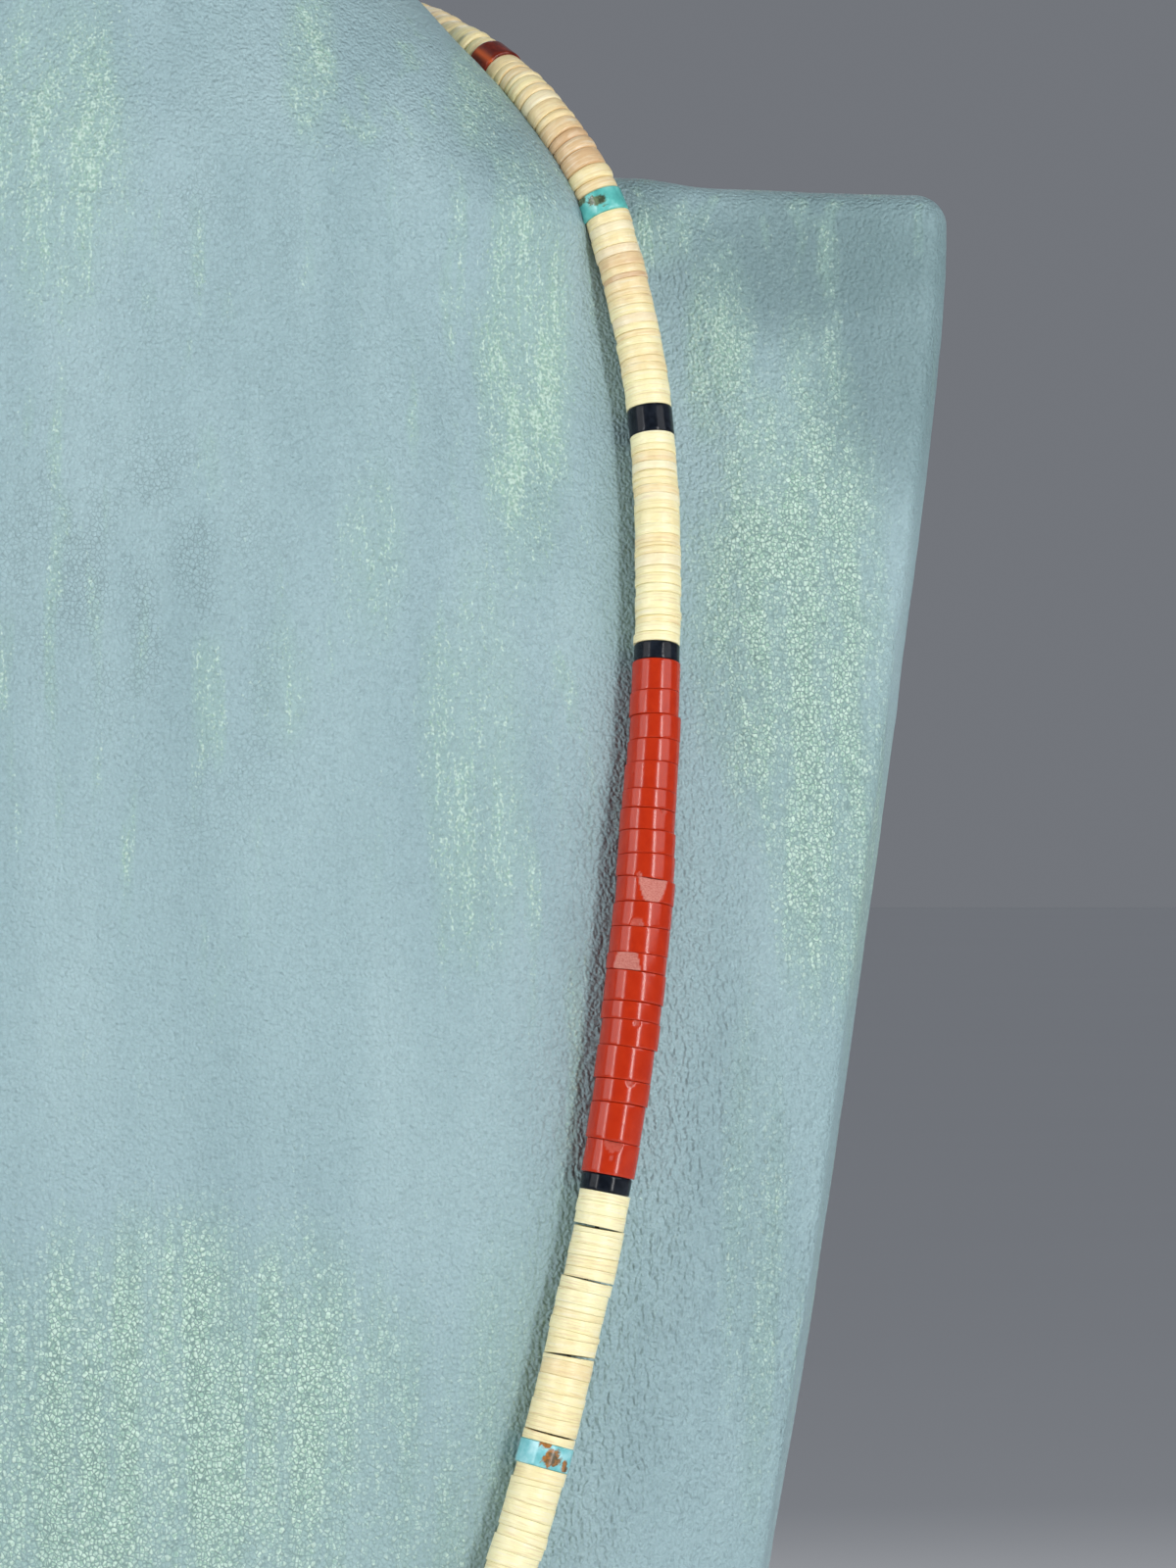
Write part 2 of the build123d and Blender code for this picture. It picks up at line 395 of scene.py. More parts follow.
NAPE_HEISHI = BeadShape(36, 3, 0.55, 0.08, 0.025, 0.007, 0.12, 0.022, 0.03, 0.05)
SOFT_HEISHI = BeadShape(36, 2, 0.30, 0.09, 0.014, 0.007, 0.07, 0.022, 0.02, 0.08)
HEISHI = BeadShape(36, 1, 0.08, 0.05, 0.0, 0.006, 0.06, 0.016, 0.012, 0.10)
FRONT_HEISHI = BeadShape(36, 1, 0.05, 0.02, 0.0, 0.006, 0.08, 0.024, 0.014, 0.16)
RED = BeadShape(96, 12, 0.09, 0.03, 0.004, 0.004, 0.10, 0.022, 0.03, 0.0)
ACCENT = BeadShape(72, 7, 0.16, 0.04, 0.0, 0.004, 0.03, 0.01, 0.03, 0.0)


class HeishiKind(NamedTuple):
    """The discs of one run: their shape, mean thickness, and how tan they are."""

    shape: BeadShape
    thickness: float
    tan: float


HEISHI_KINDS = {
    "heishi_front": HeishiKind(FRONT_HEISHI, 1.25, 0.20),
    "heishi_lower": HeishiKind(FRONT_HEISHI, 1.3, 0.16),
    "heishi_chest": HeishiKind(HEISHI, 1.05, 0.2),
    "heishi_collar": HeishiKind(HEISHI, 1.1, 0.4),
    "heishi_shoulder": HeishiKind(SOFT_HEISHI, 1.42, 0.5),
    "heishi_nape": HeishiKind(NAPE_HEISHI, 1.95, 0.45),
}


class Mark(NamedTuple):
    """A spot on an accent bead: the way it faces, its place along, and half its spread."""

    facing: float
    along: float
    half_turn: float
    half_along: float


MARKS = {
    "red_accent": [Mark(4, 0.5, 8, 1.2)],
    "turquoise_upper": [Mark(-4, 0.55, 26, 0.35), Mark(-48, 0.95, 20, 0.3)],
    "turquoise_lower": [Mark(18, 0.45, 24, 0.5), Mark(-4, 1.0, 16, 0.3), Mark(56, 0.3, 14, 0.3)],
}


def bead_points(strand, near, far, radius, shape, tilts, rng, centre=(0.0, 0.0)):
    """The points of one drilled bead between two leaning cuts across the strand.

    Returns points, local coordinates, the angle round and the share along of every point."""
    length = far - near
    edge = min(max(shape.edge + rng.normal(0, shape.edge_spread), 0.03), 0.4 * length)
    turn = np.radians([0, 40, 90])
    low = [(edge * (1 - math.sin(a)), radius - edge * (1 - math.cos(a))) for a in turn[::-1]]
    wall = []
    for k in range(shape.wall_rings):
        share = (k + 1) / (shape.wall_rings + 1)
        along = edge + (length - 2 * edge) * share
        wall.append((along, radius * (1 + shape.bulge * math.sin(math.pi * share))))
    high = [(length - along, size) for along, size in reversed(low)]
    profile = [(0.0, BORE / 2)] + low + wall + high + [(length, BORE / 2)]
    along = np.array([p[0] for p in profile])[:, None]
    size = np.array([p[1] for p in profile])[:, None]
    angle = np.linspace(0, 2 * math.pi, shape.segments, endpoint=False)[None, :]
    wave = np.zeros_like(angle)
    for order in (2, 3, 4, 5):
        wave = wave + rng.normal(0, shape.uneven / order * 1.6) * np.cos(
            order * angle + rng.uniform(0, 6.28)
        )
    outer = size > BORE
    size = np.where(outer, size * (1 + wave), size * np.ones_like(wave))
    if rng.uniform() < shape.chip_chance:
        middle = rng.uniform(-math.pi, math.pi)
        away = np.angle(np.exp(1j * (angle - middle)))
        side = rng.choice([0.0, 1.0])
        reach = np.clip(1 - np.abs(along / length - side) / CHIP_THROUGH, 0, 1)
        dent = rng.uniform(*CHIP_DEPTH) * np.exp(-((away / CHIP_TURN) ** 2)) * reach
        size = size - np.where(outer, dent, 0)
    across = size * np.cos(angle) + centre[0]
    aside = size * np.sin(angle) + centre[1]
    share = along / length * np.ones_like(angle)
    ends = []
    for distance, lean, gap in ((near, tilts[0], shape.gap), (far, tilts[1], -shape.gap)):
        place, tangent, normal, sideways = strand.at(distance)
        shift = lean[0] * across + lean[1] * aside + gap / 2
        ends.append(
            place
            + across[..., None] * normal
            + aside[..., None] * sideways
            + shift[..., None] * tangent
        )
    points = ends[0] * (1 - share[..., None]) + ends[1] * share[..., None]
    local = np.stack([across, aside, along * np.ones_like(angle)], axis=-1)
    return points.reshape(-1, 3), local.reshape(-1, 3), angle, share


def bead_faces(points, shape):
    return ring_faces(len(points) // shape.segments, shape.segments)


def own_texture(local, rng):
    """Moves a bead's look-up to a place of its own in the textures."""
    return local + rng.uniform(-TEXTURE_REACH, TEXTURE_REACH, 3)


def add_accent(beads, strand, near, far, radius, rng, marks, direction):
    """A single accent bead with its marks."""
    level = (np.zeros(2), np.zeros(2))
    points, local, angle, share = bead_points(strand, near, far, radius, ACCENT, level, rng)
    up_share = share if direction > 0 else 1 - share
    ahead = strand.facing((near + far) / 2)
    spots = np.zeros_like(share)
    for mark in marks:
        away = np.angle(np.exp(1j * (angle - ahead - math.radians(mark.facing))))
        away = away / math.radians(mark.half_turn)
        off = (up_share - mark.along) / mark.half_along
        spots = np.maximum(spots, np.exp(-(away**2) - off**2))
    tint = (rng.uniform(), rng.uniform(), 0.0, rng.uniform())
    local = own_texture(local, rng)
    beads.add(points, bead_faces(points, ACCENT), local, tint, spots.ravel())


def heishi_run(beads, strand, start, end, diameters, kind, rng, wedges=()):
    """Fills a stretch of the strand with thin discs. start is nearer the middle of the front."""
    shape = kind.shape
    direction = 1 if end > start else -1
    length = abs(end - start)
    count = round(length / kind.thickness)
    weights = np.clip(rng.normal(1.0, THICKNESS_SPREAD, count), *THICKNESS_RANGE)
    cuts = np.concatenate([[0], np.cumsum(weights)]) / weights.sum() * length
    leans = rng.normal(0, shape.tilt, (count + 1, 2))
    leans[0] = leans[-1] = 0
    opened = {}
    for wedge in wedges:
        opened[int(np.argmin(np.abs(start + direction * cuts - wedge.distance)))] = wedge
    drift = rng.normal(0, 1)
    slide = np.zeros(2)
    for index in range(count):
        share = (cuts[index] + cuts[index + 1]) / 2 / length
        radius = (diameters[0] * (1 - share) + diameters[1] * share) / 2
        radius *= 1 + rng.normal(0, DIAMETER_SPREAD)
        slide = 0.75 * slide + rng.normal(0, shape.offset, 2)
        centre = slide * 0.8 + rng.normal(0, 0.3 * shape.offset, 2)
        near, far = cuts[index], cuts[index + 1]
        lean_near, lean_far = leans[index].copy(), leans[index + 1].copy()
        for cut, lean, sign in ((index, lean_near, 1), (index + 1, lean_far, -1)):
            if cut in opened:
                wedge = opened[cut]
                angle = strand.facing(start + direction * cuts[cut]) + math.radians(wedge.facing)
                slope = sign * wedge.opening / 4 / radius
                lean += slope * np.array([math.cos(angle), math.sin(angle)]) * direction
                if sign > 0:
                    near += wedge.opening / 4
                else:
                    far -= wedge.opening / 4
        drift = 0.82 * drift + rng.normal(0, 0.45)
        tan = min(max(kind.tan + 0.26 * drift + rng.normal(0, 0.12), 0), 1)
        pale = 1.0 if rng.uniform() > PALE_KIND else 0.0
        tint = (tan, rng.uniform(), pale, rng.uniform())
        low, high = start + direction * near, start + direction * far
        if direction < 0:
            low, high, lean_near, lean_far = high, low, lean_far, lean_near
        points, local, _, _ = bead_points(
            strand, low, high, radius, shape, (lean_near, lean_far), rng, centre
        )
        local = own_texture(local, rng)
        beads.add(points, bead_faces(points, shape), local, tint, np.zeros(len(points)))


def red_string(beads, strand, start, end, rng, flats, chips):
    """The red beads of one side, from the lower end up, with their flats and chips."""
    direction = 1 if end > start else -1
    length = abs(end - start)
    lengths = np.array([row[0] for row in RED_BEADS])
    cuts = np.concatenate([[0], np.cumsum(lengths)]) / lengths.sum() * length
    leans = rng.normal(0, RED.tilt, (len(RED_BEADS) + 1, 2))
    leans[0] = leans[-1] = 0
    for index, (_, share_wide) in enumerate(RED_BEADS):
        radius = RED_DIAMETER / 2 * share_wide * (1 + rng.normal(0, RED_DIAMETER_SPREAD))
        low, high = start + direction * cuts[index], start + direction * cuts[index + 1]
        lean_low, lean_high = leans[index], leans[index + 1]
        if direction < 0:
            low, high, lean_low, lean_high = high, low, lean_high, lean_low
        centre = rng.normal(0, RED.offset, 2)
        points, local, angle, share = bead_points(
            strand, low, high, radius, RED, (lean_low, lean_high), rng, centre
        )
        worn = np.zeros(len(points))
        middle = (low + high) / 2
        place, tangent, normal, side = strand.at(middle)
        up_share = share.ravel() if direction > 0 else 1 - share.ravel()
        for flat in flats:
            if flat.bead == index:
                way = strand.facing(middle) + math.radians(flat.facing)
                outward = math.cos(way) * normal + math.sin(way) * side
                aim = outward + flat.lean * direction * tangent
                aim = aim / np.linalg.norm(aim)
                origin = place + centre[0] * normal + centre[1] * side
                reach = (points - origin) @ aim - (radius - flat.depth)
                cut = reach > 0
                points = points - np.where(cut, reach, 0)[:, None] * aim
                worn = np.maximum(worn, np.clip(reach / 0.03, 0, 1))
        for chip in chips:
            if chip.bead == index:
                way = strand.facing(middle) + math.radians(chip.facing)
                outward = math.cos(way) * normal + math.sin(way) * side
                spot = place + outward * radius
                spot = spot + direction * tangent * (chip.along - 0.5) * (high - low)
                away = np.linalg.norm(points - spot, axis=1) / chip.reach
                dent = np.clip(1 - away**2, 0, 1) * chip.depth
                points = points - dent[:, None] * outward
                worn = np.maximum(worn, 0.35 * (dent > 0.02))
        tint = (rng.uniform(), rng.uniform(), 0.0, rng.uniform())
        beads.add(points, bead_faces(points, RED), own_texture(local, rng), tint, worn)


# Materials


def new_material(name):
    """A material with its node tree and its main shader."""
    material = bpy.data.materials.new(name)
    material.use_nodes = True
    return material, material.node_tree, material.node_tree.nodes["Principled BSDF"]


def put(tree, kind, **inputs):
    """A node with some of its sockets set; a property is given with a leading p_."""
    node = tree.nodes.new(kind)
    for name, value in inputs.items():
        if name.startswith("p_"):
            setattr(node, name[2:], value)
        else:
            node.inputs[name.replace("_", " ")].default_value = value
    return node


def ramp(tree, source, stops):
    node = tree.nodes.new("ShaderNodeValToRGB")
    elements = node.color_ramp.elements
    while len(elements) < len(stops):
        elements.new(0.5)
    for element, (place, colour) in zip(elements, stops):
        element.position = place
        element.color = (*colour, 1.0)
    tree.links.new(source, node.inputs["Fac"])
    return node.outputs["Color"]


def grey_ramp(tree, source, low, high, most=1.0):
    """0 below low and most above high, with an even slope between."""
    node = put(tree, "ShaderNodeMapRange", p_clamp=True, From_Min=low, From_Max=high)
    tree.links.new(source, node.inputs["Value"])
    result = node.outputs["Result"]
    return result if most == 1.0 else maths(tree, "MULTIPLY", result, most)


def mix(tree, fac, first, second):
    """One colour fading into another. Each value is a socket, a number or a colour."""
    node = put(tree, "ShaderNodeMix", p_data_type="RGBA")
    factor, low, high = node.inputs[0], node.inputs[6], node.inputs[7]
    for socket, value in ((factor, fac), (low, first), (high, second)):
        if isinstance(value, bpy.types.NodeSocket):
            tree.links.new(value, socket)
        elif isinstance(value, (int, float)):
            socket.default_value = value
        else:
            socket.default_value = (*value, 1.0)
    return node.outputs[2]


def maths(tree, operation, *values):
    node = put(tree, "ShaderNodeMath", p_operation=operation)
    for socket, value in zip(node.inputs, values):
        if isinstance(value, bpy.types.NodeSocket):
            tree.links.new(value, socket)
        else:
            socket.default_value = value
    return node.outputs[0]


def weighted_sum(tree, *terms):
    """The sum of some textures, each times its weight."""
    total = None
    for source, weight in terms:
        part = maths(tree, "MULTIPLY", source, weight)
        total = part if total is None else maths(tree, "ADD", total, part)
    return total


def scaled(tree, source, scale):
    node = put(tree, "ShaderNodeMapping")
    node.inputs["Scale"].default_value = scale
    tree.links.new(source, node.inputs["Vector"])
    return node.outputs["Vector"]


def noise_texture(tree, vector, scale, detail=3.0, roughness=0.5, distortion=0.0):
    node = put(tree, "ShaderNodeTexNoise", Scale=scale, Detail=detail, Roughness=roughness)
    node.inputs["Distortion"].default_value = distortion
    tree.links.new(vector, node.inputs["Vector"])
    return node.outputs["Fac"]


def attribute(tree, name, output="Vector"):
    return put(tree, "ShaderNodeAttribute", p_attribute_name=name).outputs[output]


def bump(tree, shader, height, distance, strength=1.0):
    node = put(tree, "ShaderNodeBump", Distance=distance, Strength=strength)
    tree.links.new(height, node.inputs["Height"])
    tree.links.new(node.outputs["Normal"], shader.inputs["Normal"])


def surface(shader, roughness, ior, specular):
    shader.inputs["Roughness"].default_value = roughness
    shader.inputs["IOR"].default_value = ior
    shader.inputs["Specular IOR Level"].default_value = specular


def shell_material():
    material, tree, shader = new_material("shell")
    local = attribute(tree, "local")
    tint = put(tree, "ShaderNodeSeparateColor")
    tree.links.new(attribute(tree, "tint", "Color"), tint.inputs["Color"])
    body = ramp(tree, tint.outputs["Red"], [
        (0.0, (0.95, 0.88, 0.52)),
        (0.35, (0.93, 0.82, 0.45)),
        (0.7, (0.86, 0.67, 0.36)),
        (1.0, (0.69, 0.46, 0.25)),
    ])
    lines = noise_texture(tree, scaled(tree, local, (0.22, 0.22, 5.0)), 1.0, 2.0, 0.6)
    body = mix(tree, grey_ramp(tree, lines, 0.52, 0.72, 0.5), body, (0.60, 0.36, 0.19))
    body = mix(tree, grey_ramp(tree, lines, 0.46, 0.30, 0.55), body, (0.92, 0.86, 0.70))
    clouds = noise_texture(tree, scaled(tree, local, (0.5, 0.5, 0.9)), 1.0, 2.0)
    body = mix(tree, grey_ramp(tree, clouds, 0.55, 0.75, 0.3), body, (0.93, 0.86, 0.62))
    pale_kind = maths(tree, "MULTIPLY", tint.outputs["Blue"], 0.3)
    body = mix(tree, pale_kind, body, (0.93, 0.88, 0.72))
    tree.links.new(body, shader.inputs["Base Color"])
    surface(shader, 0.33, 1.53, 0.5)
    scratches = noise_texture(tree, scaled(tree, local, (1.6, 1.6, 11.0)), 1.0, 0.0)
    bump(tree, shader, scratches, 0.00004)
    return material


def red_body(tree, local, low, high):
    """Red stone's colour between two reds, and the clouds that it follows."""
    clouds = noise_texture(tree, local, 0.8, 4.0, 0.6)
    return mix(tree, grey_ramp(tree, clouds, 0.35, 0.7), low, high), clouds


def red_material():
    """Polished red stone, paler and rougher where it is worn."""
    material, tree, shader = new_material("red_stone")
    local = attribute(tree, "local")
    body, _ = red_body(tree, local, (0.44, 0.022, 0.002), (0.49, 0.030, 0.004))
    worn = attribute(tree, "worn", "Fac")
    scratches = noise_texture(tree, scaled(tree, local, (9.0, 2.0, 5.0)), 1.6, 3.0, 0.7)
    scratched = grey_ramp(tree, scratches, 0.35, 0.65)
    pale = mix(tree, scratched, (0.44, 0.10, 0.075), (0.60, 0.24, 0.19))
    tree.links.new(mix(tree, worn, body, pale), shader.inputs["Base Color"])
    surface(shader, 0.17, 1.54, 0.32)
    rough = maths(tree, "MULTIPLY_ADD", worn, 0.42, 0.17)
    tree.links.new(rough, shader.inputs["Roughness"])
    bump(tree, shader, noise_texture(tree, local, 5.0, 2.0), 0.00001, 0.6)
    return material


def dark_red_material():
    """Dark red stone with a brighter streak where its mark lies."""
    material, tree, shader = new_material("dark_red_stone")
    local = attribute(tree, "local")
    body, clouds = red_body(tree, local, (0.10, 0.008, 0.003), (0.24, 0.022, 0.006))
    body = mix(tree, attribute(tree, "worn", "Fac"), body, (0.66, 0.11, 0.02))
    tree.links.new(body, shader.inputs["Base Color"])
    surface(shader, 0.15, 1.54, 0.35)
    bump(tree, shader, clouds, 0.00002, 0.5)
    return material


def turquoise_material(name, stops, matrix_stops):
    material, tree, shader = new_material(name)
    local = attribute(tree, "local")
    clouds = noise_texture(tree, local, 0.55, 3.0, 0.55)
    body = ramp(tree, clouds, stops)
    veins = noise_texture(tree, local, 1.5, 3.0, 0.6)
    matrix = mix(tree, grey_ramp(tree, veins, 0.4, 0.6), *matrix_stops)
    spots = maths(tree, "MULTIPLY", attribute(tree, "worn", "Fac"), 0.55)
    spots = maths(tree, "ADD", spots, noise_texture(tree, local, 0.9, 3.0, 0.65, 0.8))
    body = mix(tree, grey_ramp(tree, spots, 0.72, 0.84), body, matrix)
    tree.links.new(body, shader.inputs["Base Color"])
    surface(shader, 0.2, 1.6, 0.35)
    bump(tree, shader, spots, 0.00004, 0.5)
    return material


def jet_material():
    material, tree, shader = new_material("jet")
    local = attribute(tree, "local")
    clouds = noise_texture(tree, local, 1.2, 3.0)
    low, high = (0.004, 0.006, 0.010), (0.012, 0.016, 0.024)
    body = mix(tree, grey_ramp(tree, clouds, 0.35, 0.7), low, high)
    tree.links.new(body, shader.inputs["Base Color"])
    surface(shader, 0.15, 1.6, 0.12)
    scratches = noise_texture(tree, scaled(tree, local, (1.0, 1.0, 6.0)), 2.0, 2.0)
    bump(tree, shader, scratches, 0.00001, 0.6)
    return material


def leatherette_material():
    material, tree, shader = new_material("leatherette")
    place = put(tree, "ShaderNodeTexCoord").outputs["Object"]
    place = scaled(tree, place, (1 / MM, 1 / MM, 1 / MM))
    grain = scaled(tree, place, (2.0, 2.0, 1.65))
    cells = put(tree, "ShaderNodeTexVoronoi", Scale=1.0)
    tree.links.new(grain, cells.inputs["Vector"])
    edges = put(tree, "ShaderNodeTexVoronoi", p_feature="DISTANCE_TO_EDGE", Scale=1.0)
    tree.links.new(grain, edges.inputs["Vector"])
    speckle = noise_texture(tree, place, 3.0, 0.0)
    strokes = noise_texture(tree, scaled(tree, place, (1.7, 1.7, 0.06)), 1.0, 1.0, 0.7)
    density = attribute(tree, "paint", "Fac")
    crackle = attribute(tree, "crackle", "Fac")
    shade = attribute(tree, "shade", "Fac")
    slate = ramp(tree, attribute(tree, "tone", "Fac"), [
        (0.2, (0.300, 0.432, 0.462)),
        (0.5, (0.332, 0.470, 0.500)),
        (0.8, (0.362, 0.502, 0.530)),
    ])
    # Painted shade: the slate darkens toward a deep grey-green where the painted shade layer lies
    slate = mix(tree, maths(tree, "MULTIPLY", shade, 0.62), slate, (0.105, 0.180, 0.185))
    # Pale paint is a thin glaze with brighter flecks on the tops of the grain; the flecks also
    # carry a painted highlight where the grain stands highest
    glaze = grey_ramp(tree, density, 0.15, 0.9, 0.6)
    body = mix(tree, glaze, slate, (0.295, 0.475, 0.385))
    cover = weighted_sum(
        tree, (strokes, 0.6), (speckle, 0.35), (cells.outputs["Color"], 0.5), (density, 0.75)
    )
    tops = grey_ramp(tree, edges.outputs["Distance"], 0.03, 0.14)
    flecks = maths(tree, "MULTIPLY", grey_ramp(tree, cover, 0.98, 1.4), tops)
    dust = noise_texture(tree, scaled(tree, place, (4.0, 4.0, 2.4)), 1.0, 0.0)
    fine = weighted_sum(tree, (strokes, 0.55), (dust, 0.7), (density, 0.5))
    fine = grey_ramp(tree, fine, 0.90, 1.06, 0.75)
    coarse = attribute(tree, "coarse", "Fac")
    flecks = mix(tree, coarse, fine, flecks)
    # Painted highlight: the mint flecks turn paler where the speckle, which also lifts the grain's
    # bump, is high
    mint_and_highlight = mix(tree, grey_ramp(tree, speckle, 0.38, 0.62), (0.34, 0.53, 0.42), (0.70, 0.88, 0.76))
    body = mix(tree, maths(tree, "MULTIPLY", flecks, 0.8), body, mint_and_highlight)
    grooves = grey_ramp(tree, edges.outputs["Distance"], 0.15, 0.02)
    depth = maths(tree, "ADD", maths(tree, "MULTIPLY", crackle, 0.38), 0.08)
    painted = maths(tree, "MULTIPLY", coarse, maths(tree, "MULTIPLY", glaze, 0.6))
    depth = maths(tree, "ADD", depth, painted)
    body = mix(tree, maths(tree, "MULTIPLY", grooves, depth), body, (0.08, 0.13, 0.13))
    tree.links.new(body, shader.inputs["Base Color"])
    surface(shader, 0.5, 1.46, 0.28)
    wrinkles = noise_texture(tree, scaled(tree, place, (1.8, 1.8, 0.9)), 1.0, 0.0)
    wrinkles = maths(tree, "MULTIPLY", wrinkles, attribute(tree, "wrinkle", "Fac"))
    domes = maths(tree, "MULTIPLY", cells.outputs["Distance"], 0.8)
    height = maths(tree, "SUBTRACT", speckle, domes)
    height = maths(tree, "ADD", height, maths(tree, "MULTIPLY", wrinkles, 2.4))
    bump(tree, shader, height, 0.00024)
    return material


def plain_material(name, low, high, scale, roughness, metallic=0.0):
    material, tree, shader = new_material(name)
    place = put(tree, "ShaderNodeTexCoord").outputs["Object"]
    texture = noise_texture(tree, place, scale, 3.0)
    tree.links.new(mix(tree, texture, low, high), shader.inputs["Base Color"])
    shader.inputs["Roughness"].default_value = roughness
    shader.inputs["Metallic"].default_value = metallic
    bump(tree, shader, texture, 0.00003, 0.4)
    return material


# The bust


def vertex_values(mesh, key):
    """Each vertex's place or normal, as rows of an array."""
    values = np.zeros(len(mesh.vertices) * 3)
    mesh.vertices.foreach_get(key, values)
    return values.reshape(-1, 3)


def neighbour_mean(points, edges):
    total = np.zeros_like(points)
    count = np.zeros(len(points))
    for a, b in ((0, 1), (1, 0)):
        np.add.at(total, edges[:, a], points[edges[:, b]])
        np.add.at(count, edges[:, a], 1)
    return total / np.maximum(count, 1)[:, None]


def soften(mesh, weight, rounds, steps=EVEN_OUT):
    """Softens the mesh where weight is above 0.

    EVEN_OUT goes in and out again and keeps its size, ROUND_OFF rounds off its creases."""
    points = vertex_values(mesh, "co")
    edges = np.zeros(len(mesh.edges) * 2, int)
    mesh.edges.foreach_get("vertices", edges)
    edges = edges.reshape(-1, 2)
    amount = weight(points / MM)[:, None]
    for _ in range(rounds):
        for step in steps:
            points = points + amount * step * (neighbour_mean(points, edges) - points)
    mesh.vertices.foreach_set("co", points.ravel())
    mesh.update()


def smooth_step(value, low, high):
    """0 below low and 1 above high, easing in and out between."""
    share = np.clip((value - low) / (high - low), 0, 1)
    return share * share * (3 - 2 * share)


def everywhere_above_base(points):
    return smooth_step(points[:, 2], 1.0, 6.0)


def slope_area(points):
    """The slope's foot and head, where it runs out into the chest and the neck."""
    across = 1 - smooth_step(np.abs(points[:, 0]), 78, 92)
    foot = smooth_step(points[:, 2], 226, 240) * (1 - smooth_step(points[:, 2], 262, 270))
    head = smooth_step(points[:, 2], 290, 296) * (1 - smooth_step(points[:, 2], 302, 310))
    return across * np.maximum(foot, head)


def slope_middle(points):
    """The front slope between its foot and head, where the strand crosses it."""
    across = 1 - smooth_step(np.abs(points[:, 0]), 70, 80)
    up = smooth_step(points[:, 2], 258, 267) * (1 - smooth_step(points[:, 2], 290, 298))
    return across * up * (points[:, 1] < 0)


def hold_to_form(mesh, form):
    """Brings the mesh back to the form, but for the slope's soft foot and head.

    The slope between them stands a little proud, up into the undersides of the beads."""
    tree = BVHTree.FromPolygons(
        [vertex.co for vertex in form.vertices], [tuple(face.vertices) for face in form.polygons]
    )
    points = np.array([vertex.co for vertex in mesh.vertices])
    proud = slope_middle(points / MM)
    weight = np.maximum(1 - slope_area(points / MM), proud)
    for index, point in enumerate(points):
        near, normal, _, _ = tree.find_nearest(Vector(point))
        target = near + normal * (SLOPE_RISE * MM * float(proud[index]))
        points[index] = np.array(Vector(point).lerp(target, float(weight[index])))
    mesh.vertices.foreach_set("co", points.ravel())
    mesh.update()


def front_area(points):
    """The part of the front that the photo shows, which gets the finer mesh."""
    return (points[:, 1] < 0) & (points[:, 2] > 108) & (points[:, 0] > -9)


def build_bust(node, material):
    """The bust's skin: an even mesh from the part's solid, finer where the photo shows it."""
    copy = bpy.data.objects.new("bust_form", node.data.copy())
    bpy.context.scene.collection.objects.link(copy)
    remesh = copy.modifiers.new("remesh", "REMESH")
    remesh.mode = "VOXEL"
    remesh.voxel_size = SKIN_VOXEL
    depsgraph = bpy.context.evaluated_depsgraph_get()
    mesh = bpy.data.meshes.new_from_object(copy.evaluated_get(depsgraph))
    form_data = copy.data
    bpy.data.objects.remove(copy)
    bpy.data.meshes.remove(form_data)
    soften(mesh, everywhere_above_base, 6)
    soften(mesh, slope_area, 8, ROUND_OFF)
    form = bmesh.new()
    form.from_mesh(mesh)
    chosen = []
    for edge in form.edges:
        ends = np.array([vertex.co for vertex in edge.verts]) / MM
        if front_area(ends).all():
            chosen.append(edge)
    bmesh.ops.subdivide_edges(form, edges=chosen, cuts=FRONT_CUTS, use_grid_fill=True)
    form.to_mesh(mesh)
    form.free()
    soften(mesh, everywhere_above_base, 10)
    hold_to_form(mesh, node.data)
    soften(mesh, everywhere_above_base, 2)
    shape_bust(mesh)
    bust = bpy.data.objects.new("neck_bust_skin", mesh)
    bpy.context.scene.collection.objects.link(bust)
    mesh.polygons.foreach_set("use_smooth", np.ones(len(mesh.polygons), bool))
    mesh.materials.clear()
    mesh.materials.append(material)
    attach(bust, "root")
    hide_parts("neck_bust")


def patch_strength(patches, across, up):
    """The strongest patch at a place on the front."""
    total = 0.0
    for patch in patches:
        away = ((across - patch.across) / patch.half_width) ** 2
        away += ((up - patch.up) / patch.half_height) ** 2
        total = max(total, patch.strength * math.exp(-0.7 * away * away))
    return total


def ridge_share(across, up):
    """1 on the ridge's line, falling off to its sides and along its length."""
    share = 0.0
    for step, (start, end) in enumerate(zip(RIDGE, RIDGE[1:])):
        run = (end[0] - start[0], end[1] - start[1])
        along = (across - start[0]) * run[0] + (up - start[1]) * run[1]
        along = min(max(along / (run[0] ** 2 + run[1] ** 2), 0), 1)
        away = math.hypot(across - start[0] - along * run[0], up - start[1] - along * run[1])
        fade = 1 - 0.8 * (step + along) / (len(RIDGE) - 1)
        fade *= min(max((269.0 - up) / 3.5, 0), 1)
        share = max(share, fade * math.exp(-((away / 3.6) ** 2)))
    return share


def streak_noise(x, y, z, across, along, shift=0.0):
    """Noise drawn out along the height, about 0 to 1."""
    value = noise.fractal(Vector((x / across + shift, y / across, z / along)), 0.9, 2.0, 3)
    return 0.5 + 0.6 * value


LAYERS = ("paint", "coarse", "crackle", "shade", "tone", "wrinkle")


def clamp(value):
    return min(max(value, 0), 1)


